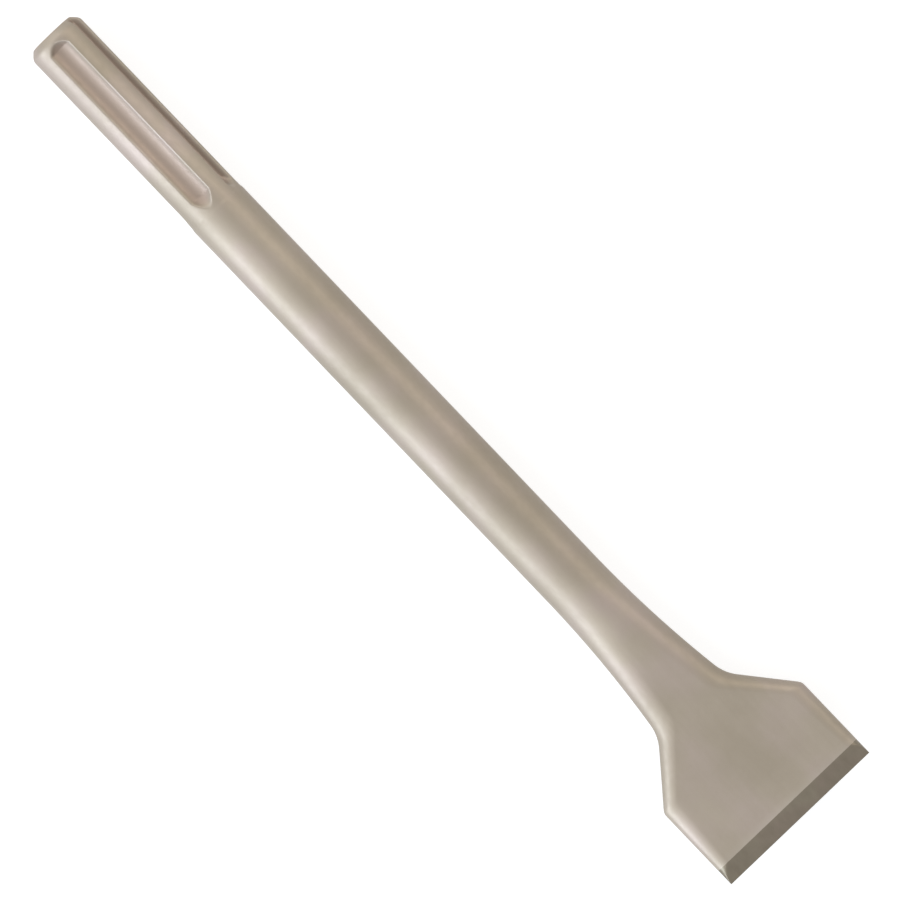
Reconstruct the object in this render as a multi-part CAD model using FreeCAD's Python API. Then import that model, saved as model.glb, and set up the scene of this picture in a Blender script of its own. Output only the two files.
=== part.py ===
import FreeCAD, Part
import math
import os

# A flat chisel forged in one piece from a round steel bar, for a large rotary hammer.
# X runs from the struck end face to the cutting edge, and Z stands out of the flat of the blade.
# The origin is the centre of the struck end face. Lengths are in millimetres, angles in degrees.

# Bar and shank
overall_length = 300.0
shank_diameter = 18.0
shank_length = 66.0
bar_diameter = 18.4
step_length = 1.2
end_chamfer = 2.4
end_rounding = 0.9

# Locking grooves, round-bottomed and closed at both ends, one on each side of the shank
locking_turn = 9.5
locking_floor_depth = 2.6
locking_floor_radius = 3.6
locking_floor_start = 5.1
locking_floor_end = 61.0
locking_near_slope = 51.0
locking_far_slope = 35.0

# Driving grooves, open at the struck end: one wide, and a narrow pair opposite it
driving_floor_depth = 2.2
driving_wall_angle = 20.0
driving_floor_end = 61.5
driving_far_slope = 31.0
wide_groove_floor_width = 5.3
narrow_groove_floor_width = 2.5
narrow_groove_spread = 20.0

# Neck, where the round bar is forged out flat and flares to the width of the blade
neck_length = 65.0
flare_radius = 335.0
root_radius = 13.0
shoulder_angle = 39.5
forming_length = 48.0
forming_edge_radius = 5.0
forming_crown_angle = 20.0

# Blade and cutting edge
blade_length = 27.0
blade_width = 52.8
blade_edge_radius = 2.6
blade_taper_angle = 3.2
bevel_length = 5.2
bevel_root_thickness = 6.0
edge_land_thickness = 0.6

# How far a cutting form stands past the steel, so that no skin is left
cut_margin = 2.0

# Steps between the neck's sections, along the flare and along the root arc
flare_steps = 8
root_steps = 4

# The greatest length along X that an edge lying across the bar can show
flatness_limit = 0.01

shank_radius = shank_diameter / 2
bar_radius = bar_diameter / 2
corner_x = overall_length - blade_length
bevel_x = overall_length - bevel_length
neck_start = corner_x - neck_length
forming_end = neck_start + forming_length


def along(degrees):
    """Cosine and sine of an angle in degrees."""
    radians = math.radians(degrees)
    return math.cos(radians), math.sin(radians)


def slope(degrees):
    """Rise over run of an angle in degrees."""
    return math.tan(math.radians(degrees))


def smooth_step(fraction):
    """Eases from 0 to 1 with no slope at either end."""
    return fraction * fraction * (3 - 2 * fraction)


shoulder_cos, shoulder_sin = along(shoulder_angle)


def flare_end_angle():
    """Angle at which the long flare runs tangent into the tighter root arc.

    The root arc is tangent to the flare on one side and, on the other, to the shoulder line
    that ends in the corner of the blade, which fixes the angle between them.
    """
    reach = corner_x - neck_start
    rise = bar_radius + flare_radius - blade_width / 2
    offset = shoulder_sin * reach + shoulder_cos * rise - root_radius
    return shoulder_angle - math.degrees(math.acos(offset / (flare_radius - root_radius)))


flare_angle = flare_end_angle()
flare_cos, flare_sin = along(flare_angle)
root_start_x = neck_start + flare_radius * flare_sin
root_start_width = bar_radius + flare_radius * (1 - flare_cos)
root_end_x = root_start_x + root_radius * (shoulder_sin - flare_sin)


def half_width(x):
    """Half the width of the plan outline: flare arc, root arc, straight shoulder, then the blade."""
    if x <= root_start_x:
        run = max(0.0, x - neck_start)
        return bar_radius + flare_radius - math.sqrt(flare_radius ** 2 - run ** 2)
    if x <= root_end_x:
        sine = flare_sin + (x - root_start_x) / root_radius
        return root_start_width + root_radius * (flare_cos - math.sqrt(1 - sine ** 2))
    return blade_width / 2 - max(0.0, corner_x - x) * slope(shoulder_angle)


def flat_half_thickness(x):
    """Half the thickness between the two flats of the blade, which taper towards the edge."""
    return bevel_root_thickness / 2 + (bevel_x - x) * slope(blade_taper_angle)


def forming(x):
    """How far the forging has gone at x: 0 on the round bar, 1 where the flats are complete."""
    return min(1.0, max(0.0, (x - neck_start) / forming_length))


def half_thickness(x):
    """Half the thickness in side view: a smooth fall from the bar to the tapered flats."""
    if x >= forming_end:
        return flat_half_thickness(x)
    fraction = forming(x)
    fall = (flat_half_thickness(forming_end) - bar_radius) * smooth_step(fraction)
    lead = slope(blade_taper_angle) * forming_length * fraction ** 2 * (1 - fraction)
    return bar_radius + fall + lead


def edge_radius(x):
    """Radius of the long edges: the bar's own radius at first, then ever smaller."""
    if x < forming_end:
        return bar_radius + (forming_edge_radius - bar_radius) * smooth_step(forming(x))
    share = (x - forming_end) / (overall_length - forming_end)
    return forming_edge_radius + (blade_edge_radius - forming_edge_radius) * share


def crown_angle(x):
    """Half the angle over which a face is still crowned, which falls to nothing on the flats."""
    return forming_crown_angle * (1 - smooth_step(forming(x)))


def quarter_points(x):
    """Points of one quarter of the section, from the middle of the side to the middle of the top."""
    width = half_width(x)
    height = half_thickness(x)
    radius = edge_radius(x)
    crown = crown_angle(x)
    bulge = slope(crown / 2)
    spare_width = width - radius
    spare_height = height - radius
    centre_y = (spare_width - bulge * spare_height) / (1 - bulge ** 2)
    centre_z = (spare_height - bulge * spare_width) / (1 - bulge ** 2)
    points = [(width, 0.0)]
    for angle in (crown, 45.0, 90.0 - crown):
        cosine, sine = along(angle)
        points.append((centre_y + radius * cosine, centre_z + radius * sine))
    points.append((0.0, height))
    return points


def section_wire(x):
    """Closed section across the bar: four faces, crowned or flat, between four rounded edges."""
    quarter = quarter_points(x)
    mirrored = [(-y, z) for y, z in quarter[-2::-1]]
    upper = quarter + mirrored
    lower = [(-y, -z) for y, z in upper[1:-1]]
    ring = [FreeCAD.Vector(x, y, z) for y, z in upper + lower]
    flat = crown_angle(x) == 0.0
    edges = []
    for index in range(1, len(ring), 2):
        first = ring[index]
        middle = ring[(index + 1) % len(ring)]
        last = ring[(index + 2) % len(ring)]
        on_face = index % 4 == 3
        if on_face and flat:
            edges.append(Part.LineSegment(first, last).toShape())
        else:
            edges.append(Part.Arc(first, middle, last).toShape())
    return Part.Wire(edges)


def spread(first, last, steps):
    """Evenly spaced stations from first to last."""
    return [first + (last - first) * step / steps for step in range(steps + 1)]


def turned_bar():
    """Shank and bar as turned: chamfered struck end, ground shank, step up to the bar.

    Only the two rims of the end chamfer are rounded.
    """
    outline = [
        (0.0, 0.0),
        (0.0, shank_radius - end_chamfer),
        (end_chamfer, shank_radius),
        (shank_length, shank_radius),
        (shank_length + step_length, bar_radius),
        (neck_start, bar_radius),
        (neck_start, 0.0),
        (0.0, 0.0),
    ]
    wire = Part.makePolygon([FreeCAD.Vector(x, radius, 0) for x, radius in outline])
    bar = Part.Face(wire).revolve(FreeCAD.Vector(0, 0, 0), FreeCAD.Vector(1, 0, 0), 360)
    rims = []
    for edge in bar.Edges:
        box = edge.BoundBox
        across = box.XLength < flatness_limit and box.ZLength > shank_radius
        if across and box.XMax < end_chamfer + flatness_limit:
            rims.append(edge)
    return bar.makeFillet(end_rounding, rims)


def slot_outline(start, end, width, height):
    """Closed outline with round ends, from start to end along X, at a height above the axis."""
    radius = width / 2
    first = FreeCAD.Vector(start + radius, -radius, height)
    second = FreeCAD.Vector(end - radius, -radius, height)
    third = FreeCAD.Vector(end - radius, radius, height)
    fourth = FreeCAD.Vector(start + radius, radius, height)
    far_tip = FreeCAD.Vector(end, 0, height)
    near_tip = FreeCAD.Vector(start, 0, height)
    return Part.Wire([
        Part.LineSegment(first, second).toShape(),
        Part.Arc(second, far_tip, third).toShape(),
        Part.LineSegment(third, fourth).toShape(),
        Part.Arc(fourth, near_tip, first).toShape(),
    ])


def turned_about_axis(form, turn):
    """The form turned about the tool's axis, from +Z towards -Y."""
    form.rotate(FreeCAD.Vector(0, 0, 0), FreeCAD.Vector(1, 0, 0), turn)
    return form


def locking_groove(turn):
    """Steel taken out for a locking groove: a round bar's shape that tapers to a tip at each end.

    Its axis lies above the floor by the floor's radius, so that the ends slope up out of the steel.
    """
    radius = locking_floor_radius
    height = shank_radius - locking_floor_depth + radius
    near_tip = locking_floor_start - radius / slope(locking_near_slope)
    far_tip = locking_floor_end + radius / slope(locking_far_slope)
    outline = [
        (near_tip, height),
        (locking_floor_start, height - radius),
        (locking_floor_end, height - radius),
        (far_tip, height),
        (near_tip, height),
    ]
    wire = Part.makePolygon([FreeCAD.Vector(x, 0, z) for x, z in outline])
    centre = FreeCAD.Vector(0, 0, height)
    form = Part.Face(wire).revolve(centre, FreeCAD.Vector(1, 0, 0), 360)
    return turned_about_axis(form, turn)


def driving_groove(turn, floor_width):
    """Steel taken out for a driving groove: a flat floor between walls that lean out.

    It starts ahead of the struck end and so is open there. The far end ramps up to the surface.
    """
    start = -cut_margin - floor_width
    floor_height = shank_radius - driving_floor_depth
    rise = driving_floor_depth + cut_margin
    floor = slot_outline(start, driving_floor_end, floor_width, floor_height)
    mouth = slot_outline(
        start,
        driving_floor_end + rise / slope(driving_far_slope),
        floor_width + 2 * rise * slope(driving_wall_angle),
        floor_height + rise,
    )
    return turned_about_axis(Part.makeLoft([floor, mouth], True, True), turn)


def shank_grooves():
    """The five grooves: two locking ones opposite each other, and three driving ones between."""
    wide_turn = locking_turn + 90
    pair_turn = locking_turn - 90
    return [
        locking_groove(locking_turn),
        locking_groove(locking_turn + 180),
        driving_groove(wide_turn, wide_groove_floor_width),
        driving_groove(pair_turn + narrow_groove_spread, narrow_groove_floor_width),
        driving_groove(pair_turn - narrow_groove_spread, narrow_groove_floor_width),
    ]


def neck():
    """The forged neck, lofted from the round bar to the start of the straight shoulders."""
    flare = spread(neck_start, root_start_x, flare_steps)
    root = spread(root_start_x, root_end_x, root_steps)
    return Part.makeLoft([section_wire(x) for x in flare + root[1:]], True, False)


def bevel_form(side):
    """Steel ground away on one face to make the cutting edge; side is 1 above and -1 below."""
    root = bevel_root_thickness / 2
    land = edge_land_thickness / 2
    fall = (root - land) / bevel_length
    outline = [
        (bevel_x, root),
        (overall_length + cut_margin, land - fall * cut_margin),
        (overall_length + cut_margin, root + cut_margin),
        (bevel_x, root + cut_margin),
        (bevel_x, root),
    ]
    corners = [FreeCAD.Vector(x, -blade_width, side * z) for x, z in outline]
    return Part.Face(Part.makePolygon(corners)).extrude(FreeCAD.Vector(0, 2 * blade_width, 0))


def blade():
    """Shoulders and blade, tapered between the flats and ground on both faces to the edge."""
    stations = (root_end_x, corner_x, overall_length)
    form = Part.makeLoft([section_wire(x) for x in stations], True, True)
    return form.cut([bevel_form(1), bevel_form(-1)])


def chisel():
    """The whole tool as one solid."""
    shank = turned_bar().cut(shank_grooves())
    return shank.fuse([neck(), blade()])


os.makedirs("parts", exist_ok=True)
chisel().exportStep("parts/chisel.step")
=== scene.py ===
"""Looks of a wide flat chisel, forged in one piece from a round steel bar.

X runs from the struck end face to the cutting edge, and Z stands out of the flat of the blade.
Sizes are written in millimetres and degrees, and become metres and radians where they are used.
"""

from __future__ import annotations

import logging
import math
from dataclasses import dataclass, fields
from enum import Enum
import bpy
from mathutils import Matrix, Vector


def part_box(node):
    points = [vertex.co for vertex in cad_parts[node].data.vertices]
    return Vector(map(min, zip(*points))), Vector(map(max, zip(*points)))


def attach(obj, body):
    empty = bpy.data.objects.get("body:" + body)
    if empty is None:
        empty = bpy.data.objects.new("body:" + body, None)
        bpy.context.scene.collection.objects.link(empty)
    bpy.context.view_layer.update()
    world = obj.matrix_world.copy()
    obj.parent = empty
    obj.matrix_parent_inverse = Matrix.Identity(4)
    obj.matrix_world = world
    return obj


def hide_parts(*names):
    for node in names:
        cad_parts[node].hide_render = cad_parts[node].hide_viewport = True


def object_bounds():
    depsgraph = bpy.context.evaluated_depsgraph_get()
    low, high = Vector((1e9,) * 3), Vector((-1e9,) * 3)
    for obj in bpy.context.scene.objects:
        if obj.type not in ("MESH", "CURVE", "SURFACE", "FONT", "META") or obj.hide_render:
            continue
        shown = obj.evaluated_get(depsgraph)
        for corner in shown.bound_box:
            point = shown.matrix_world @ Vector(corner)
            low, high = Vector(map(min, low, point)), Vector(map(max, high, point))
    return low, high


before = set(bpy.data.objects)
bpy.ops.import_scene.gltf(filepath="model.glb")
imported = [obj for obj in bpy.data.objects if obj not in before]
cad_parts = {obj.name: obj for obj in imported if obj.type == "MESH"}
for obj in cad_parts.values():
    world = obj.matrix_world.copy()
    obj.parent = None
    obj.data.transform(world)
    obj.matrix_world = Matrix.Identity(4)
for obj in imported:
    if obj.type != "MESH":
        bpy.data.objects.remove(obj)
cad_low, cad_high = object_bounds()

from types import SimpleNamespace

import bpy
from mathutils import Matrix, Vector

log = logging.getLogger("flat_chisel")

MILLIMETRE = 0.001
RIGHT_ANGLE = math.pi / 2
CHAMFER_ANGLE = math.pi / 4
WHITE = (1.0, 1.0, 1.0, 1.0)
NODE = "chisel"
BODY = "root"

Millimetres = float
Metres = float
Degrees = float
Ratio = float
Range = tuple[float, float]
Colour = tuple[float, float, float]

UNITS = {"Millimetres": MILLIMETRE, "Degrees": math.radians(1), "Ratio": 1.0}

EVEN = (1.0, 1.0, 1.0)
DRAWN_OUT_ALONG_TOOL = (0.05, 1.0, 1.0)


def overall(axis: int) -> Millimetres:
    """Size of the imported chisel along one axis, in millimetres."""
    low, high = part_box(NODE)
    return (high[axis] - low[axis]) / MILLIMETRE


def put_in_scene(thing: bpy.types.Object) -> None:
    """Links an object to the scene."""
    bpy.context.scene.collection.objects.link(thing)


@dataclass(frozen=True)
class Field:
    """A number that varies over the surface: arithmetic on it adds Math nodes to its tree."""

    tree: bpy.types.NodeTree
    socket: bpy.types.NodeSocket

    def math(self, operation: str, *others: Number) -> Field:
        """Adds one Math node.

        Args:
            operation: The node's operation.
            others: The second and third operands, where the operation has them.

        Returns:
            The node's result.
        """
        return compute(self.tree, operation, self, *others)

    def __add__(self, other: Number) -> Field:
        """Sum."""
        return self.math("ADD", other)

    def __radd__(self, other: Number) -> Field:
        """Sum with a plain number first."""
        return self.math("ADD", other)

    def __sub__(self, other: Number) -> Field:
        """Difference."""
        return self.math("SUBTRACT", other)

    def __rsub__(self, other: Number) -> Field:
        """Difference from a plain number."""
        return compute(self.tree, "SUBTRACT", other, self)

    def __mul__(self, other: Number) -> Field:
        """Product."""
        return self.math("MULTIPLY", other)

    def __rmul__(self, other: Number) -> Field:
        """Product with a plain number first."""
        return self.math("MULTIPLY", other)

    def __truediv__(self, other: Number) -> Field:
        """Quotient."""
        return self.math("DIVIDE", other)

    def __rtruediv__(self, other: Number) -> Field:
        """Quotient of a plain number and this."""
        return compute(self.tree, "DIVIDE", other, self)

    def __gt__(self, other: Number) -> Field:
        """1 where this is the greater, and 0 elsewhere."""
        return self.math("GREATER_THAN", other)


Number = Field | float


def compute(tree: bpy.types.NodeTree, operation: str, *values: Number) -> Field:
    """Adds one Math node.

    Args:
        tree: The tree that gets the node.
        operation: The node's operation.
        values: Its operands, fields or plain numbers.

    Returns:
        The node's result.
    """
    node = tree.nodes.new("ShaderNodeMath")
    node.operation = operation
    for index, value in enumerate(values):
        if isinstance(value, Field):
            tree.links.new(value.socket, node.inputs[index])
        else:
            node.inputs[index].default_value = value
    return Field(tree, node.outputs[0])


def sine(angle: Field) -> Field:
    """Sine of an angle in radians."""
    return angle.math("SINE")


def cosine(angle: Field) -> Field:
    """Cosine of an angle in radians."""
    return angle.math("COSINE")


def tangent(angle: Field) -> Field:
    """Tangent of an angle in radians."""
    return angle.math("TANGENT")


def root(value: Field) -> Field:
    """Square root, which is 0 below 0."""
    return value.math("SQRT")


def smallest(value: Field, other: Number, blend: Number = 0.0) -> Field:
    """The smaller of two, rounded over within the blend."""
    return value.math("SMOOTH_MIN", other, blend)


def largest(value: Field, other: Number, blend: Number = 0.0) -> Field:
    """The larger of two, rounded over within the blend."""
    return value.math("SMOOTH_MAX", other, blend)


def share(value: Field, start: Number, end: Number) -> Field:
    """How far the value has gone from start to end, held between 0 and 1."""
    return largest(smallest((value - start) / (end - start), 1.0), 0.0)


def smooth_step(fraction: Field) -> Field:
    """Eases from 0 to 1 with no slope at either end."""
    return fraction * fraction * (3.0 - 2.0 * fraction)


def choose(condition: Field, then: Number, otherwise: Number) -> Field:
    """The first value where the condition is 1, and the other where it is 0."""
    return condition * (then - otherwise) + otherwise


@dataclass(frozen=True)
class Point:
    """A point of the surface: along the tool, across the blade and out of its flat."""

    x: Field
    y: Field
    z: Field


class ShapeTree:
    """A Geometry Nodes tree under construction, with a named input for each size."""

    def __init__(self, name: str, *parts: object) -> None:
        """Makes the tree and its inputs.

        Args:
            name: The tree's name.
            parts: Dataclasses whose Millimetres, Degrees and Ratio fields become inputs.
        """
        self.tree = bpy.data.node_groups.new(name, "GeometryNodeTree")
        self.tree.is_modifier = True
        self.values: dict[str, float] = {}
        sockets = self.tree.interface
        sockets.new_socket("Geometry", in_out="OUTPUT", socket_type="NodeSocketGeometry")
        labels = {}
        for part in parts:
            for size in fields(part):
                if size.type not in UNITS:
                    continue
                label = f"{type(part).__name__} {size.name}".replace("_", " ")
                item = sockets.new_socket(label, in_out="INPUT", socket_type="NodeSocketFloat")
                self.values[item.identifier] = getattr(part, size.name) * UNITS[size.type]
                labels[type(part), size.name] = label
        source = self.tree.nodes.new("NodeGroupInput")
        self.given: dict[type, SimpleNamespace] = {type(part): SimpleNamespace() for part in parts}
        for (kind, name), label in labels.items():
            setattr(self.given[kind], name, Field(self.tree, source.outputs[label]))

    def add(self, kind: str, **sockets: object) -> bpy.types.Node:
        """Adds a node.

        Args:
            kind: The node's type.
            sockets: Its inputs by name, as fields, sockets or plain values.

        Returns:
            The node.
        """
        node = self.tree.nodes.new(kind)
        for name, value in sockets.items():
            socket = node.inputs[name.replace("_", " ")]
            if isinstance(value, Field):
                value = value.socket
            if isinstance(value, bpy.types.NodeSocket):
                self.tree.links.new(value, socket)
            else:
                socket.default_value = value
        return node

    def position(self) -> tuple[bpy.types.NodeSocket, Point]:
        """Reads where each point of the mesh lies.

        Returns:
            The place as a vector and as three numbers.
        """
        place = self.add("GeometryNodeInputPosition").outputs[0]
        parts = self.add("ShaderNodeSeparateXYZ", Vector=place)
        return place, Point(*(Field(self.tree, parts.outputs[axis]) for axis in "XYZ"))

    def scale(self, vector: bpy.types.NodeSocket, factor: Field) -> bpy.types.NodeSocket:
        """Multiplies a vector by a number.

        Args:
            vector: The vector.
            factor: The number.

        Returns:
            The scaled vector.
        """
        node = self.tree.nodes.new("ShaderNodeVectorMath")
        node.operation = "SCALE"
        self.tree.links.new(vector, node.inputs[0])
        self.tree.links.new(factor.socket, node.inputs["Scale"])
        return node.outputs[0]

    def store(self, mesh: bpy.types.NodeSocket, name: str, value: Field) -> bpy.types.NodeSocket:
        """Keeps a field on the mesh's points.

        Args:
            mesh: The mesh so far.
            name: The attribute's name, which a finish reads it by.
            value: The field.

        Returns:
            The mesh with the attribute.
        """
        node = self.tree.nodes.new("GeometryNodeStoreNamedAttribute")
        node.data_type = "FLOAT"
        node.domain = "POINT"
        node.inputs["Name"].default_value = name
        self.tree.links.new(mesh, node.inputs["Geometry"])
        self.tree.links.new(value.socket, node.inputs["Value"])
        return node.outputs["Geometry"]

    def make(self, name: str) -> bpy.types.Object:
        """Runs the tree once and keeps its result as a plain mesh.

        Args:
            name: The new piece's name.

        Returns:
            The piece, at the origin, with no modifier.
        """
        blank = bpy.data.meshes.new("blank")
        maker = bpy.data.objects.new("maker", blank)
        put_in_scene(maker)
        modifier = maker.modifiers.new("shape", "NODES")
        modifier.node_group = self.tree
        for identifier, value in self.values.items():
            modifier[identifier] = value
        evaluated = maker.evaluated_get(bpy.context.evaluated_depsgraph_get())
        mesh = bpy.data.meshes.new_from_object(evaluated)
        bpy.data.objects.remove(maker)
        bpy.data.meshes.remove(blank)
        mesh.name = name
        piece = bpy.data.objects.new(name, mesh)
        put_in_scene(piece)
        return piece


@dataclass(frozen=True)
class Section:
    """What fixes the outline across the tool at one place along it."""

    half_width: Field
    half_thickness: Field
    edge_height: Field
    edge_width: Field
    crown: Field

    def point(self, x: Field, turn: Field, face_angle: Field) -> Point:
        """Point of the outline: flat or crowned faces between four rounded edges.

        Args:
            x: Place along the tool.
            turn: Angle round the axis, from +Y towards +Z.
            face_angle: Angle at either end of a quarter turn that lies on a face.

        Returns:
            The point, on a circle where the section is a plain bar.
        """
        across = cosine(turn)
        out = sine(turn)
        folded = out.math("ABSOLUTE").math("ARCTAN2", across.math("ABSOLUTE"))
        bulge = tangent(self.crown / 2.0)
        crown_sine = sine(self.crown)
        crown_cosine = cosine(self.crown)
        spare_width = self.half_width - self.edge_width * crown_cosine - (
            self.edge_height * crown_sine * bulge
        )
        spare_height = self.half_thickness - self.edge_height * crown_cosine - (
            self.edge_width * crown_sine * bulge
        )
        centre_y = (spare_width - bulge * spare_height) / (1.0 - bulge * bulge)
        centre_z = (spare_height - bulge * spare_width) / (1.0 - bulge * bulge)

        lean = self.crown + share(folded, face_angle, RIGHT_ANGLE - face_angle) * (
            RIGHT_ANGLE - 2.0 * self.crown
        )
        corner_y = centre_y + self.edge_width * cosine(lean)
        corner_z = centre_z + self.edge_height * sine(lean)

        side = share(folded, 0.0, face_angle) * self.crown
        side_end = centre_z + self.edge_height * crown_sine
        side_y = self.half_width - side_end * (1.0 - cosine(side)) / crown_sine
        side_z = side_end * sine(side) / crown_sine

        top = share(RIGHT_ANGLE - folded, 0.0, face_angle) * self.crown
        top_end = centre_y + self.edge_width * crown_sine
        top_y = top_end * sine(top) / crown_sine
        top_z = self.half_thickness - top_end * (1.0 - cosine(top)) / crown_sine

        on_side = face_angle > folded
        on_top = folded > RIGHT_ANGLE - face_angle
        y = choose(on_top, top_y, choose(on_side, side_y, corner_y))
        z = choose(on_top, top_z, choose(on_side, side_z, corner_z))
        return Point(x, y * across.math("SIGN"), z * out.math("SIGN"))


class Side(Enum):
    """Which way a groove faces: the turn about the axis from +Z towards -Y, in degrees."""

    LOCKING_ABOVE = 9.5
    LOCKING_BELOW = 189.5
    DRIVING_WIDE = 99.5
    DRIVING_FIRST = -60.5
    DRIVING_SECOND = -100.5

    @property
    def closed(self) -> bool:
        """Whether the groove ends short of the struck end."""
        return self in (Side.LOCKING_ABOVE, Side.LOCKING_BELOW)


@dataclass(frozen=True)
class Shank:
    """Grooved end that the hammer holds, and the round bar behind it.

    A locking groove isn't sunk towards the axis, but leans over by its own angle.
    """

    diameter: Millimetres = 18.0
    length: Millimetres = 66.0
    step_length: Millimetres = 1.2
    end_chamfer: Millimetres = 2.1
    end_rounding: Millimetres = 1.3
    bar_diameter: Millimetres = overall(2)
    locking_depth: Millimetres = 2.4
    locking_radius: Millimetres = 3.9
    locking_lean: Degrees = 11.5
    locking_start: Millimetres = 5.1
    locking_end: Millimetres = 61.0
    near_taper: Millimetres = 2.6
    far_taper: Millimetres = 4.6
    taper_fullness: Ratio = 0.5
    driving_depth: Millimetres = 2.2
    driving_wall: Degrees = 20.0
    driving_end: Millimetres = 61.5
    driving_slope: Degrees = 31.0
    wide_floor: Millimetres = 5.3
    narrow_floor: Millimetres = 2.5
    rim_rounding: Millimetres = 2.4
    floor_rounding: Millimetres = 1.0
    # Width of the lighter band at each groove rim: rubbed wear and a painted highlight.
    rim_wear: Millimetres = 0.5

    def radius(self, x: Field, given: SimpleNamespace) -> Field:
        """Radius of the turned bar: rounded chamfer, shank, step up to the bar.

        Args:
            x: Place along the tool.
            given: The tree's inputs for this part.

        Returns:
            The radius.
        """
        full = given.diameter / 2.0
        tangent_length = given.end_rounding * math.tan(CHAMFER_ANGLE / 2)
        face_radius = full - given.end_chamfer - tangent_length
        rise = given.end_rounding - smallest(x, given.end_rounding)
        arc = face_radius + root(given.end_rounding * given.end_rounding - rise * rise)
        chamfer = smallest(full - given.end_chamfer + x, full, given.end_rounding)
        turned = choose(tangent_length * math.cos(CHAMFER_ANGLE) > x, arc, chamfer)
        step = share(x, given.length, given.length + given.step_length)
        return turned + (given.bar_diameter / 2.0 - full) * smooth_step(step)

    def locking_height(self, x: Field, offset: Field, given: SimpleNamespace) -> Field:
        """Height of a locking groove's round bottom above the axis.

        The groove is the shape of a bar that tapers at each end, between a cone and a ball.

        Args:
            x: Place along the tool.
            offset: Distance from the groove's middle line.
            given: The tree's inputs for this part.

        Returns:
            The height, which lies outside the shank where the groove doesn't reach.
        """
        near = self.taper(share(given.locking_start - x, 0.0, given.near_taper), given)
        far = self.taper(share(x - given.locking_end, 0.0, given.far_taper), given)
        reach = given.locking_radius * smallest(near, far)
        axis = given.diameter / 2.0 - given.locking_depth + given.locking_radius
        return axis - root(reach * reach - offset * offset)

    def taper(self, gone: Field, given: SimpleNamespace) -> Field:
        """Share of a locking groove's radius that is left where its end has gone so far."""
        cone = 1.0 - gone
        return cone + (root(1.0 - gone * gone) - cone) * given.taper_fullness

    def driving_height(
        self, x: Field, offset: Field, width: Field, given: SimpleNamespace
    ) -> Field:
        """Height of a driving groove's floor and walls above the axis.

        The floor is flat and ends in a half circle. The walls lean out from it, the far end
        ramps up at its own slope, and a cone joins them.

        Args:
            x: Place along the tool.
            offset: Distance from the groove's middle line.
            width: Width of the floor.
            given: The tree's inputs for this part.

        Returns:
            The height.
        """
        half = width / 2.0
        lean = tangent(given.driving_wall)
        off = offset.math("ABSOLUTE")
        past = x - (given.driving_end - half)
        straight = largest((off - half) / lean, 0.0)
        retreat = 1.0 / tangent(given.driving_slope) - lean
        linear = past * retreat + half * lean
        square = retreat * retreat - lean * lean
        distance = past * past + off * off - half * half
        cone = distance / (linear + root(linear * linear - square * distance))
        rise = choose(past > retreat * straight, cone, straight)
        floor = given.diameter / 2.0 - given.driving_depth
        return floor + largest(rise, 0.0, given.floor_rounding / 2.0)

    def groove(
        self, x: Field, offset: Field, side: Side, given: SimpleNamespace
    ) -> tuple[Field, Field]:
        """Shape of one groove.

        Args:
            x: Place along the tool.
            offset: Distance from the groove's middle line.
            side: Which groove.
            given: The tree's inputs for this part.

        Returns:
            The height of its surface above the axis, and its full depth.
        """
        if side.closed:
            return self.locking_height(x, offset, given), given.locking_depth
        width = given.wide_floor if side is Side.DRIVING_WIDE else given.narrow_floor
        return self.driving_height(x, offset, width, given), given.driving_depth

    def cut(self, point: Point, given: SimpleNamespace) -> tuple[Point, Field, Field]:
        """Sinks the five grooves into the surface.

        Args:
            point: The point of the plain shank.
            given: The tree's inputs for this part.

        Returns:
            The point in its groove, how deep it lies from 0 to 1, which sets a painted shade, and
            its nearness to a rim, which sets rubbed wear and a painted highlight.
        """
        recess: Number = 0.0
        rim: Number = 0.0
        y, z = point.y, point.z
        radius = given.diameter / 2.0
        for side in Side:
            lean = given.locking_lean * float(side.closed)
            turn = math.radians(side.value) - lean
            aside, out = sine(turn), cosine(turn)
            offset = point.y * out + point.z * aside + radius * sine(lean)
            height = point.z * out - point.y * aside + radius * (1.0 - cosine(lean))
            surface, depth = self.groove(point.x, offset, side, given)
            over = height - surface
            drop = largest(over, 0.0, given.rim_rounding / 2.0)
            y = y + drop * aside
            z = z - drop * out
            recess = recess + drop / depth
            # Nearness to a rim, for its rubbed wear and painted highlight.
            rim = rim + 1.0 - smallest(over.math("ABSOLUTE") / given.rim_wear, 1.0)
        return Point(point.x, y, z), recess, rim


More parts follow.
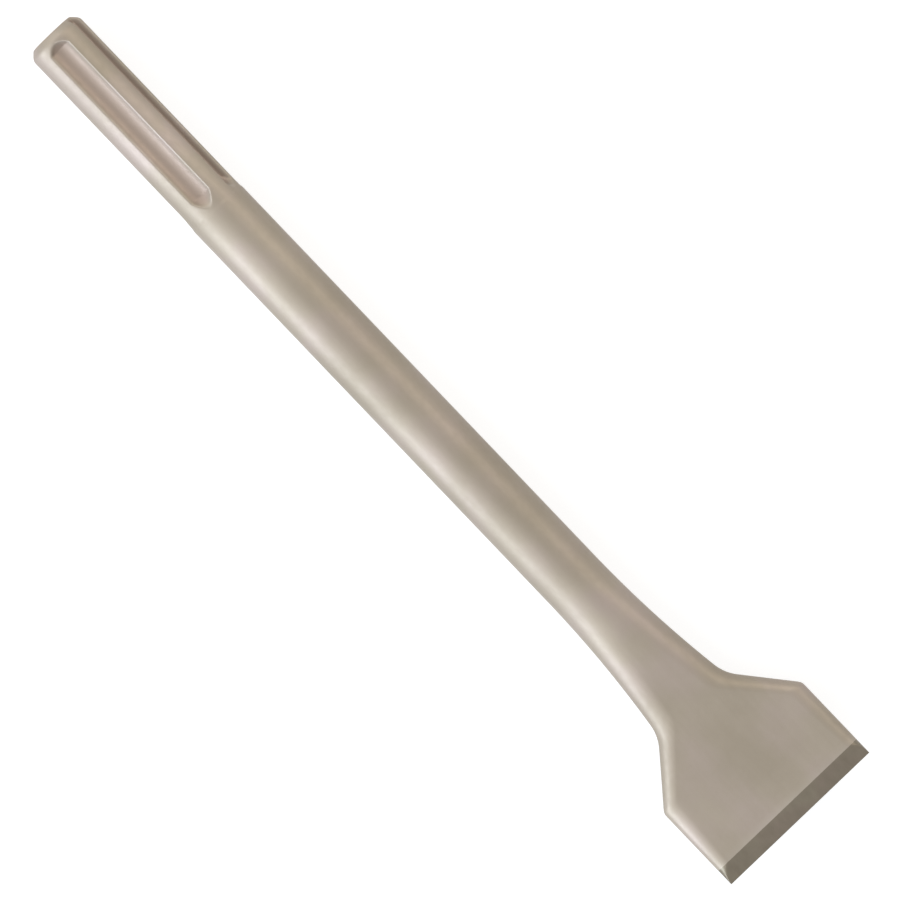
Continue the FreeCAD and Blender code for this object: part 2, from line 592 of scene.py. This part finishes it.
@dataclass(frozen=True)
class Neck:
    """Where the round bar is forged out flat and flares to the width of the blade."""

    length: Millimetres = 65.0
    flare_radius: Millimetres = 335.0
    root_radius: Millimetres = 13.0
    shoulder: Degrees = 39.5
    forming_length: Millimetres = 48.0
    forming_edge: Millimetres = 5.0
    forming_crown: Degrees = 20.0
    least_crown: Degrees = 0.1
    edge_spread: Ratio = 1.3

    def half_width(
        self, x: Field, start: Field, bar: Field, blade: SimpleNamespace, given: SimpleNamespace
    ) -> Field:
        """Half the plan outline: flare arc, root arc, straight shoulder, then the blade.

        Args:
            x: Place along the tool.
            start: Where the neck starts.
            bar: Radius of the bar.
            blade: The tree's inputs for the blade.
            given: The tree's inputs for this part.

        Returns:
            The half width.
        """
        half = blade.width / 2.0
        shoulder_sine = sine(given.shoulder)
        rise = bar + given.flare_radius - half
        offset = shoulder_sine * given.length + cosine(given.shoulder) * rise - given.root_radius
        between = offset / (given.flare_radius - given.root_radius)
        flare = given.shoulder - between.math("ARCCOSINE")
        flare_sine = sine(flare)
        flare_cosine = cosine(flare)
        root_start = start + given.flare_radius * flare_sine
        root_end = root_start + given.root_radius * (shoulder_sine - flare_sine)
        run = largest(x - start, 0.0)
        centre = bar + given.flare_radius
        flared = centre - root(given.flare_radius * given.flare_radius - run * run)
        climb = flare_sine + (x - root_start) / given.root_radius
        rooted = bar + given.flare_radius * (1.0 - flare_cosine) + given.root_radius * (
            flare_cosine - root(1.0 - climb * climb)
        )
        to_corner = start + given.length - x
        shoulder = smallest(half - to_corner * tangent(given.shoulder), half, blade.corner_rounding)
        return choose(x > root_end, shoulder, choose(x > root_start, rooted, flared))

    def section(
        self, x: Field, start: Field, bar: Field, blade: SimpleNamespace, given: SimpleNamespace
    ) -> Section:
        """The section of the neck and the blade.

        Args:
            x: Place along the tool.
            start: Where the neck starts.
            bar: Radius of the bar.
            blade: The tree's inputs for the blade.
            given: The tree's inputs for this part.

        Returns:
            What fixes the outline at x.
        """
        formed = share(x, start, start + given.forming_length)
        eased = smooth_step(formed)
        taper = tangent(blade.taper)
        corner = start + given.length
        bevel = corner + blade.length - blade.bevel_length
        flat = blade.bevel_root / 2.0 + (bevel - x) * taper
        flat_end = blade.bevel_root / 2.0 + (bevel - start - given.forming_length) * taper
        lead = taper * given.forming_length * formed * formed * (1.0 - formed)
        falling = bar + (flat_end - bar) * eased + lead
        thickness = choose(x > start + given.forming_length, flat, falling)
        forming_edge = bar + (given.forming_edge - bar) * eased
        narrowing = share(x, start + given.forming_length, corner + blade.length)
        edge = forming_edge + (blade.edge_radius - given.forming_edge) * narrowing
        crown = largest(given.forming_crown * (1.0 - eased), given.least_crown)
        width = self.half_width(x, start, bar, blade, given)
        spread = 1.0 + (given.edge_spread - 1.0) * eased
        return Section(width, thickness, edge, edge * spread, crown)


@dataclass(frozen=True)
class Blade:
    """Wide thin end, ground on both faces to the cutting edge."""

    length: Millimetres = 27.0
    width: Millimetres = overall(1)
    edge_radius: Millimetres = 2.6
    taper: Degrees = 3.2
    bevel_length: Millimetres = 5.2
    bevel_root: Millimetres = 6.0
    edge_land: Millimetres = 0.6
    corner_rounding: Millimetres = 1.1
    root_rounding: Millimetres = 0.12
    # Width of the painted highlight along the bevel's upper edge.
    root_wear: Millimetres = 1.5

    def grind(self, point: Point, bevel: Field, given: SimpleNamespace) -> tuple[Point, Field]:
        """Grinds both faces down to the cutting edge.

        Args:
            point: The point of the blade before grinding.
            bevel: Where the bevel starts.
            given: The tree's inputs for this part.

        Returns:
            The point on the bevel, and its nearness to the bevel's upper edge, where a painted
            highlight goes.
        """
        half = given.bevel_root / 2.0
        past = point.x - bevel
        limit = half - past * (half - given.edge_land / 2.0) / given.bevel_length
        height = smallest(point.z.math("ABSOLUTE"), limit, given.root_rounding)
        # Nearness to the bevel's upper edge, which gets a painted highlight.
        near = 1.0 - smallest(past.math("ABSOLUTE") / given.root_wear, 1.0)
        return Point(point.x, point.y, height * point.z.math("SIGN")), near


@dataclass(frozen=True)
class Stretch:
    """A run of rows along the tool, up to a place in millimetres."""

    end: Millimetres
    rows: int


@dataclass(frozen=True)
class Skin:
    """How finely the surface is divided, and how uneven the forging left it."""

    columns: int = 360
    cap_rows: int = 5
    waviness: Millimetres = 0.05
    wave_size: Millimetres = 14.0
    join_distance: Millimetres = 0.002
    sharp_angle: Degrees = 50.0


class Chisel:
    """The whole tool as one closed mesh, built from its shank, neck and blade."""

    def __init__(self) -> None:
        """Sets the sub-assemblies and the rows of the mesh along the tool."""
        self.shank = Shank()
        self.neck = Neck()
        self.blade = Blade()
        self.skin = Skin()
        self.length = overall(0)
        corner = self.length - self.blade.length
        bevel = self.length - self.blade.bevel_length
        start = corner - self.neck.length
        # Rows are close where the outline bends: at the chamfer, where the grooves end, at the
        # step, where the shoulders start, and at the corners and the bevel.
        self.stretches = (
            Stretch(0.3, 8),
            Stretch(3.2, 14),
            Stretch(9.0, 22),
            Stretch(56.5, 16),
            Stretch(65.5, 40),
            Stretch(67.5, 8),
            Stretch(start, 24),
            Stretch(corner - 21.0, 24),
            Stretch(corner - 13.0, 18),
            Stretch(corner - 1.5, 12),
            Stretch(corner + 1.5, 12),
            Stretch(bevel - 0.4, 10),
            Stretch(bevel + 0.4, 6),
            Stretch(self.length, 8),
        )

    def build(self, steel: bpy.types.Material, ground: bpy.types.Material) -> bpy.types.Object:
        """Builds the piece.

        Args:
            steel: The finish of the forged and blasted surface.
            ground: The finish of the bevel.

        Returns:
            The piece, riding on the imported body.
        """
        tree = ShapeTree("chisel_shape", self.shank, self.neck, self.blade, self.skin)
        tube, row, turn = self.tube(tree)
        point, recess, wear_and_highlight = self.surface(tree, row, turn)
        # The groove depth carries a painted shade, and the edge nearness carries rubbed wear and a
        # painted highlight.
        marked = tree.store(tree.store(tube, "recess", recess), "wear_and_highlight", wear_and_highlight)
        place = tree.add("ShaderNodeCombineXYZ", X=point.x, Y=point.y, Z=point.z).outputs[0]
        placed = tree.add("GeometryNodeSetPosition", Geometry=marked, Position=place).outputs[0]
        rough = self.roughen(tree, placed)
        reach = tree.given[Skin].join_distance
        closed = tree.add("GeometryNodeMergeByDistance", Geometry=rough, Distance=reach).outputs[0]
        dressed = self.dress(tree, closed, steel, ground)
        sink = tree.tree.nodes.new("NodeGroupOutput")
        tree.tree.links.new(dressed, sink.inputs[0])
        piece = tree.make("flat_chisel")
        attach(piece, BODY)
        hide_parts(NODE)
        mesh = piece.data
        log.info("%s: %d points, %d faces", piece.name, len(mesh.vertices), len(mesh.polygons))
        return piece

    def tube(self, tree: ShapeTree) -> tuple[bpy.types.NodeSocket, Field, Field]:
        """Makes the plain tube whose points are moved to the surface.

        Args:
            tree: The tree.

        Returns:
            The tube, the number of each point's row and its turn about the axis.
        """
        last = self.row_count() - 1
        tube = tree.add(
            "GeometryNodeMeshCylinder",
            Vertices=self.skin.columns,
            Side_Segments=last,
            Radius=1.0,
            Depth=float(last),
        )
        tube.fill_type = "NONE"
        _, place = tree.position()
        row = (place.z + last / 2).math("ROUND")
        return tube.outputs["Mesh"], row, place.y.math("ARCTAN2", place.x)

    def landmarks(self, tree: ShapeTree) -> tuple[Field, Field]:
        """Where the neck starts, and where the bevel does."""
        end = self.length * MILLIMETRE
        blade = tree.given[Blade]
        return end - blade.length - tree.given[Neck].length, end - blade.bevel_length

    def surface(self, tree: ShapeTree, row: Field, turn: Field) -> tuple[Point, Field, Field]:
        """Finds where each point of the tube goes.

        Args:
            tree: The tree.
            row: Number of the point's row.
            turn: Its turn about the axis.

        Returns:
            Its place, how deep in a groove it lies, which sets a painted shade, and its nearness to
            a worn edge, which sets rubbed wear and a painted highlight.
        """
        shank, neck, blade = tree.given[Shank], tree.given[Neck], tree.given[Blade]
        start, bevel = self.landmarks(tree)
        x = self.station(row)
        formed = self.neck.section(x, start, shank.bar_diameter / 2.0, blade, neck)
        turned = self.shank.radius(x, shank)
        forged = x > start
        section = Section(
            choose(forged, formed.half_width, turned),
            choose(forged, formed.half_thickness, turned),
            choose(forged, formed.edge_height, turned),
            choose(forged, formed.edge_width, turned),
            formed.crown,
        )
        full = section.point(x, turn, neck.forming_crown)
        closing = share(row, 0.0, float(self.skin.cap_rows))
        plain = Point(x, full.y * closing, full.z * closing)
        grooved, recess, rim = self.shank.cut(plain, shank)
        ground, bevel_edge_highlight = self.blade.grind(grooved, bevel, blade)
        meeting = share(self.row_count() - 1.0 - row, 0.0, 1.0)
        # Rubbed wear and painted highlight at the groove rims, painted highlight at the bevel's
        # upper edge.
        wear_and_highlight = largest(smallest(rim + bevel_edge_highlight, 1.0), 0.0)
        return Point(x, ground.y, ground.z * meeting), smallest(recess, 1.0), wear_and_highlight

    def row_count(self) -> int:
        """Rows of the mesh: the stretches, and those that close its two ends."""
        return 2 + self.skin.cap_rows + sum(stretch.rows for stretch in self.stretches)

    def station(self, row: Field) -> Field:
        """Place along the tool of each row of the mesh.

        Args:
            row: Number of the row, from the struck end.

        Returns:
            The place, in metres.
        """
        first = float(self.skin.cap_rows)
        place: Number = 0.0
        reached = 0.0
        for stretch in self.stretches:
            length = (stretch.end - reached) * MILLIMETRE
            place = share(row, first, first + stretch.rows) * length + place
            first += stretch.rows
            reached = stretch.end
        return place

    def roughen(self, tree: ShapeTree, mesh: bpy.types.NodeSocket) -> bpy.types.NodeSocket:
        """Leaves the forged surface slightly uneven.

        Args:
            tree: The tree.
            mesh: The mesh in shape.

        Returns:
            The uneven mesh.
        """
        skin = tree.given[Skin]
        start, _ = self.landmarks(tree)
        place, point = tree.position()
        amount = share(point.x, start, start + tree.given[Neck].forming_length)
        scaled = tree.scale(place, 1.0 / skin.wave_size)
        noise = tree.add("ShaderNodeTexNoise", Vector=scaled, Detail=2.0)
        wave = (Field(tree.tree, noise.outputs[0]) - 0.5) * skin.waviness * amount
        push = tree.scale(tree.add("GeometryNodeInputNormal").outputs[0], wave)
        return tree.add("GeometryNodeSetPosition", Geometry=mesh, Offset=push).outputs[0]

    def dress(
        self,
        tree: ShapeTree,
        mesh: bpy.types.NodeSocket,
        steel: bpy.types.Material,
        ground: bpy.types.Material,
    ) -> bpy.types.NodeSocket:
        """Shades the mesh smooth but for its sharp edges, and gives it its finishes.

        Args:
            tree: The tree.
            mesh: The closed mesh.
            steel: The finish of the forged and blasted surface.
            ground: The finish of the bevel.

        Returns:
            The finished mesh.
        """
        smooth = tree.add("GeometryNodeSetShadeSmooth", Geometry=mesh).outputs[0]
        angle = tree.add("GeometryNodeInputMeshEdgeAngle").outputs["Unsigned Angle"]
        gentle = tree.given[Skin].sharp_angle > Field(tree.tree, angle)
        edges = tree.add("GeometryNodeSetShadeSmooth", Geometry=smooth, Shade_Smooth=gentle)
        edges.domain = "EDGE"
        real = tree.add("GeometryNodeRealizeInstances", Geometry=edges.outputs[0]).outputs[0]
        all_over = tree.add("GeometryNodeSetMaterial", Geometry=real, Material=steel).outputs[0]
        _, point = tree.position()
        _, bevel = self.landmarks(tree)
        return tree.add(
            "GeometryNodeSetMaterial", Geometry=all_over, Selection=point.x > bevel, Material=ground
        ).outputs[0]


class ShaderGroup:
    """A shader node group under construction, with named inputs and outputs."""

    def __init__(self, name: str, inputs: dict[str, float], outputs: tuple[str, ...]) -> None:
        """Makes the group and its sockets.

        Args:
            name: The group's name.
            inputs: Its inputs and their usual values.
            outputs: Its outputs, all of them numbers.
        """
        self.tree = bpy.data.node_groups.new(name, "ShaderNodeTree")
        for label, value in inputs.items():
            self.add_socket(label, "INPUT").default_value = value
        for label in outputs:
            self.add_socket(label, "OUTPUT")
        source = self.tree.nodes.new("NodeGroupInput")
        self.sink = self.tree.nodes.new("NodeGroupOutput")
        self.given = {label: Field(self.tree, source.outputs[label]) for label in inputs}

    def add_socket(self, label: str, way: str) -> bpy.types.NodeTreeInterfaceSocket:
        """Adds a number to the group's inputs or outputs."""
        return self.tree.interface.new_socket(label, in_out=way, socket_type="NodeSocketFloat")

    def noise(
        self, scale: Field, detail: float, stretch: tuple[float, float, float] = EVEN
    ) -> Field:
        """Adds a noise on the piece's own coordinates.

        Args:
            scale: Waves for each metre.
            detail: How many finer layers it has.
            stretch: How much denser it is along each axis.

        Returns:
            The noise, about 0.5.
        """
        place = self.tree.nodes.new("ShaderNodeTexCoord")
        mapping = self.tree.nodes.new("ShaderNodeMapping")
        mapping.inputs["Scale"].default_value = stretch
        node = self.tree.nodes.new("ShaderNodeTexNoise")
        node.inputs["Detail"].default_value = detail
        self.tree.links.new(place.outputs["Object"], mapping.inputs["Vector"])
        self.tree.links.new(mapping.outputs[0], node.inputs["Vector"])
        self.tree.links.new(scale.socket, node.inputs["Scale"])
        return Field(self.tree, node.outputs[0])

    def give(self, label: str, value: Field) -> None:
        """Links a value to one of the outputs."""
        self.tree.links.new(value.socket, self.sink.inputs[label])


def blast_grain() -> bpy.types.NodeTree:
    """Builds the fine pitted grain that shot blasting leaves.

    Returns:
        A group that gives the height of the grain and how rough it is.
    """
    usual = {"Grain Density": 2600.0, "Coarse Size": 4.0, "Fine Share": 0.6, "Depth": 1.0}
    group = ShaderGroup("blast_grain", usual, ("Height", "Roughness"))
    density, fineness = group.given["Grain Density"], group.given["Fine Share"]
    depth = group.given["Depth"]
    fine = group.noise(density, 3.0)
    coarse = group.noise(density / group.given["Coarse Size"], 2.0)
    group.give("Height", (fine * fineness + coarse * (1.0 - fineness)) * depth)
    group.give("Roughness", (coarse - 0.5) * depth)
    return group.tree


def handling_marks() -> bpy.types.NodeTree:
    """Builds the uneven tone of bare steel that has been heated, blasted and handled.

    Returns:
        A group that gives broad patches, smaller tints and faint streaks along the tool.
    """
    usual = {"Patch Density": 38.0, "Streak Density": 420.0, "Tint Density": 75.0}
    group = ShaderGroup("handling_marks", usual, ("Patches", "Streaks", "Tints"))
    group.give("Patches", group.noise(group.given["Patch Density"], 4.0))
    group.give("Tints", group.noise(group.given["Tint Density"], 2.0))
    streaks = group.noise(group.given["Streak Density"], 3.0, DRAWN_OUT_ALONG_TOOL)
    group.give("Streaks", streaks)
    return group.tree


@dataclass(frozen=True)
class Marks:
    """How marks show in every finish: where each sets in and is full, and how strong it is. The
    groove mark is a painted shade, and the edge mark is rubbed wear with a painted highlight.
    """

    tints: Range = (0.4, 0.6)
    # Groove depths between which the painted shade sets in and is full.
    recess: Range = (0.1, 0.7)
    # Patches over which the rubbed wear and painted highlight show.
    rubbing: Range = (0.2, 0.62)
    # Strength of the rubbed wear and painted highlight.
    rubbed_shade: float = 0.4
    rubbed_polish: float = 0.06
    grain_roughness: float = 0.2
    patch_roughness: float = 0.12


@dataclass(frozen=True)
class Finish:
    """A finish of the steel: its colours, and how strongly its own effects show. Its groove colour
    is a painted shade with a pinker tone, and its worn colour is rubbed wear with a painted
    highlight.
    """

    name: str
    colour: Colour
    dark: Colour
    # Lighter colour at worn edges: rubbed wear and a painted highlight.
    worn: Colour
    # Darker, pinker colour in the grooves: a painted shade, with a groove tone of its own.
    recessed: Colour
    tinted: Colour
    roughness: float
    metallic: float
    patchiness: float
    streakiness: float
    grain_depth: float
    bump_distance: Millimetres
    edge_tone: float
    marks: Marks = Marks()

    def material(self, groups: dict[str, bpy.types.NodeTree]) -> bpy.types.Material:
        """Builds the material.

        Args:
            groups: The shader groups, by name.

        Returns:
            The material.
        """
        material = bpy.data.materials.new(self.name)
        material.use_nodes = True
        tree = material.node_tree
        shader = tree.nodes["Principled BSDF"]
        shader.inputs["Metallic"].default_value = self.metallic
        shader.inputs["Specular Tint"].default_value = (*(self.edge_tone,) * 3, 1.0)
        grain = self.group(tree, groups["blast_grain"], {"Depth": self.grain_depth})
        handled = self.group(tree, groups["handling_marks"], {})
        # Nearness to worn edges, for rubbed wear and a painted highlight.
        wear_and_highlight = self.attribute(tree, "wear_and_highlight")
        shade = self.shade(tree, handled, wear_and_highlight)
        tree.links.new(shade, shader.inputs["Base Color"])
        unevenness = Field(tree, grain.outputs["Roughness"])
        patches = Field(tree, handled.outputs["Patches"])
        rough = self.roughness + unevenness * self.marks.grain_roughness
        rough = rough - wear_and_highlight * self.marks.rubbed_polish
        rough = rough + (0.5 - patches) * self.marks.patch_roughness
        tree.links.new(rough.socket, shader.inputs["Roughness"])
        bump = tree.nodes.new("ShaderNodeBump")
        bump.inputs["Strength"].default_value = 1.0
        bump.inputs["Distance"].default_value = self.bump_distance * MILLIMETRE
        streaks = Field(tree, handled.outputs["Streaks"])
        height = Field(tree, grain.outputs["Height"]) + streaks * self.streakiness
        tree.links.new(height.socket, bump.inputs["Height"])
        tree.links.new(bump.outputs[0], shader.inputs["Normal"])
        return material

    def shade(
        self, tree: bpy.types.NodeTree, handled: bpy.types.Node, wear_and_highlight: Field
    ) -> bpy.types.NodeSocket:
        """Mixes the finish's colours, with a painted shade in the grooves and a painted highlight
        along worn edges.

        Args:
            tree: The material's nodes.
            handled: The group of handling marks.
            wear_and_highlight: Nearness to a worn edge, which carries rubbed wear and a painted
                highlight.

        Returns:
            The colour's socket.
        """
        patches = Field(tree, handled.outputs["Patches"])
        streaks = Field(tree, handled.outputs["Streaks"])
        uneven = (patches - 0.5) * self.patchiness + (streaks - 0.5) * self.streakiness
        tone = share(uneven + 0.5, 0.0, 1.0)
        tint = share(Field(tree, handled.outputs["Tints"]), *self.marks.tints)
        base = self.mix(tree, tone, self.dark, self.mix(tree, tint, self.colour, self.tinted))
        # Painted shade: the colour darkens towards the groove floors.
        painted_groove_shade = smooth_step(share(self.attribute(tree, "recess"), *self.marks.recess))
        floor = self.mix(tree, painted_groove_shade, base, self.recessed)
        # Lighter colour at the groove rims and the bevel's upper edge: rubbed wear and a painted
        # highlight.
        rubbed_and_highlit = wear_and_highlight * share(patches, *self.marks.rubbing) * self.marks.rubbed_shade
        return self.mix(tree, rubbed_and_highlit, floor, self.worn)

    def group(
        self, tree: bpy.types.NodeTree, group: bpy.types.NodeTree, values: dict[str, float]
    ) -> bpy.types.Node:
        """Places a shader group in the material.

        Args:
            tree: The material's nodes.
            group: The group.
            values: Its inputs that differ from the usual.

        Returns:
            The node.
        """
        node = tree.nodes.new("ShaderNodeGroup")
        node.node_tree = group
        for label, value in values.items():
            node.inputs[label].default_value = value
        return node

    def attribute(self, tree: bpy.types.NodeTree, name: str) -> Field:
        """Reads a number kept on the mesh's points."""
        node = tree.nodes.new("ShaderNodeAttribute")
        node.attribute_name = name
        return Field(tree, node.outputs["Fac"])

    def mix(
        self,
        tree: bpy.types.NodeTree,
        amount: Field,
        first: Colour | bpy.types.NodeSocket,
        second: Colour | bpy.types.NodeSocket,
    ) -> bpy.types.NodeSocket:
        """Mixes two colours.

        Args:
            tree: The material's nodes.
            amount: 0 for the first colour and 1 for the second.
            first: A colour or a socket that gives one.
            second: A colour or a socket that gives one.

        Returns:
            The mixed colour's socket.
        """
        node = tree.nodes.new("ShaderNodeMix")
        node.data_type = "RGBA"
        tree.links.new(amount.socket, node.inputs["Factor"])
        for label, value in (("A", first), ("B", second)):
            socket = next(s for s in node.inputs if s.name == label and s.type == "RGBA")
            if isinstance(value, bpy.types.NodeSocket):
                tree.links.new(value, socket)
            else:
                socket.default_value = (*value, 1.0)
        return next(s for s in node.outputs if s.type == "RGBA")


STEEL = Finish(
    name="blasted_forged_steel",
    colour=(0.402, 0.344, 0.278),
    dark=(0.33, 0.281, 0.218),
    # Rubbed wear and painted highlight at worn edges.
    worn=(0.47, 0.42, 0.36),
    # Painted shade in the grooves, with their pinker tone.
    recessed=(0.362, 0.287, 0.236),
    tinted=(0.41, 0.341, 0.295),
    roughness=0.48,
    metallic=0.57,
    patchiness=2.4,
    streakiness=0.5,
    grain_depth=1.0,
    bump_distance=0.02,
    edge_tone=0.8,
)

GROUND = Finish(
    name="ground_bevel_steel",
    colour=(0.215, 0.19, 0.145),
    dark=(0.175, 0.15, 0.115),
    # Painted highlight along the bevel's upper edge.
    worn=(0.23, 0.20, 0.155),
    # Painted groove shade, which the bevel never shows.
    recessed=(0.175, 0.15, 0.115),
    tinted=(0.21, 0.175, 0.14),
    roughness=0.36,
    metallic=0.95,
    patchiness=0.8,
    streakiness=1.6,
    grain_depth=0.4,
    bump_distance=0.015,
    edge_tone=1.0,
)


@dataclass(frozen=True)
class Lamp:
    """A soft rectangular light that faces the middle of the tool."""

    name: str
    azimuth: Degrees
    elevation: Degrees
    distance: Metres
    size: tuple[Metres, Metres]
    watts: float
    colour: Colour = (1.0, 1.0, 1.0)

    def add(self, aim: Vector) -> None:
        """Hangs the light.

        Args:
            aim: The point that it faces.
        """
        turn, height = math.radians(self.azimuth), math.radians(self.elevation)
        level = math.cos(height)
        way = Vector((math.cos(turn) * level, math.sin(turn) * level, math.sin(height)))
        data = bpy.data.lights.new(self.name, "AREA")
        data.shape = "RECTANGLE"
        data.size, data.size_y = self.size
        data.energy = self.watts
        data.color = self.colour
        lamp = bpy.data.objects.new(self.name, data)
        facing = way.to_track_quat("Z", "Y").to_matrix().to_4x4()
        lamp.matrix_world = Matrix.Translation(aim + way * self.distance) @ facing
        lamp.visible_camera = False
        put_in_scene(lamp)


@dataclass(frozen=True)
class Studio:
    """Floor, background, lights and camera: what stands round the tool and isn't part of it."""

    floor_half: Metres = 1.5
    floor_colour: Colour = (0.5, 0.5, 0.5)
    floor_roughness: float = 0.9
    floor_glow: float = 0.75
    background: float = 1.0
    surroundings: float = 0.4
    view_centre: tuple[Millimetres, Millimetres] = (159.4, 0.33)
    view_width: Millimetres = 248.9
    axis_turn: Degrees = 46.31
    lens: Millimetres = 700.0
    sensor: Millimetres = 36.0
    clip_range: Range = (0.1, 10.0)
    lamps: tuple[Lamp, ...] = (
        Lamp("key", -90.0, 15.0, 0.9, (2.0, 0.5), 10.0, (0.87, 1.0, 1.17)),
        Lamp("upper", -90.0, 50.0, 0.9, (2.0, 0.7), 3.4, (0.95, 1.0, 1.06)),
        Lamp("fill", 112.0, 36.0, 0.9, (1.1, 0.4), 1.9, (1.08, 1.0, 0.87)),
        Lamp("end", 180.0, 14.0, 0.9, (0.8, 0.46), 1.5),
    )

    def build(self) -> None:
        """Sets up everything round the tool."""
        self.lay_floor()
        self.fill_world()
        aim = Vector(((cad_low.x + cad_high.x) / 2, 0.0, 0.0))
        for lamp in self.lamps:
            lamp.add(aim)
        self.place_camera()
        log.info("studio: floor, %d lamps and camera", len(self.lamps))

    def lay_floor(self) -> None:
        """Lays a pale floor under the tool."""
        half = self.floor_half
        signs = ((-1, -1), (1, -1), (1, 1), (-1, 1))
        mesh = bpy.data.meshes.new("floor")
        mesh.from_pydata([(x * half, y * half, cad_low.z) for x, y in signs], [], [(0, 1, 2, 3)])
        floor = bpy.data.objects.new("floor", mesh)
        put_in_scene(floor)
        material = bpy.data.materials.new("pale_floor")
        material.use_nodes = True
        tree = material.node_tree
        shader = tree.nodes["Principled BSDF"]
        shader.inputs["Base Color"].default_value = (*self.floor_colour, 1.0)
        shader.inputs["Roughness"].default_value = self.floor_roughness
        shader.inputs["Specular IOR Level"].default_value = 0.0
        shader.inputs["Emission Color"].default_value = WHITE
        glow = self.direct_view(tree) * self.floor_glow
        tree.links.new(glow.socket, shader.inputs["Emission Strength"])
        mesh.materials.append(material)

    def fill_world(self) -> None:
        """Gives soft light from all round, on a white background."""
        world = bpy.data.worlds.new("studio")
        world.use_nodes = True
        bpy.context.scene.world = world
        tree = world.node_tree
        shader = tree.nodes["Background"]
        shader.inputs["Color"].default_value = WHITE
        strength = choose(self.direct_view(tree), self.background, self.surroundings)
        tree.links.new(strength.socket, shader.inputs["Strength"])

    def direct_view(self, tree: bpy.types.NodeTree) -> Field:
        """1 for what the camera sees, itself or in a shiny surface, and 0 for soft light."""
        path = tree.nodes.new("ShaderNodeLightPath")
        seen = Field(tree, path.outputs["Is Camera Ray"])
        mirrored = Field(tree, path.outputs["Is Glossy Ray"])
        through = Field(tree, path.outputs["Is Transmission Ray"])
        return largest(seen, largest(mirrored, through))

    def place_camera(self) -> None:
        """Places the camera straight above, turned as the photograph is."""
        data = bpy.data.cameras.new("camera")
        data.lens = self.lens
        data.sensor_width = self.sensor
        distance = self.view_width * MILLIMETRE * self.lens / self.sensor
        camera = bpy.data.objects.new("camera", data)
        x, y = self.view_centre
        place = Vector((x * MILLIMETRE, y * MILLIMETRE, distance))
        turned = Matrix.Rotation(math.radians(self.axis_turn), 4, "Z")
        camera.matrix_world = Matrix.Translation(place) @ turned
        data.clip_start, data.clip_end = (distance * limit for limit in self.clip_range)
        put_in_scene(camera)
        bpy.context.scene.camera = camera


def main() -> None:
    """Builds the chisel and the studio round it."""
    logging.basicConfig(level=logging.INFO, format="%(name)s: %(message)s")
    bpy.context.scene.view_settings.view_transform = "Standard"
    groups = {"blast_grain": blast_grain(), "handling_marks": handling_marks()}
    Chisel().build(STEEL.material(groups), GROUND.material(groups))
    Studio().build()


if __name__ == "__main__":
    main()
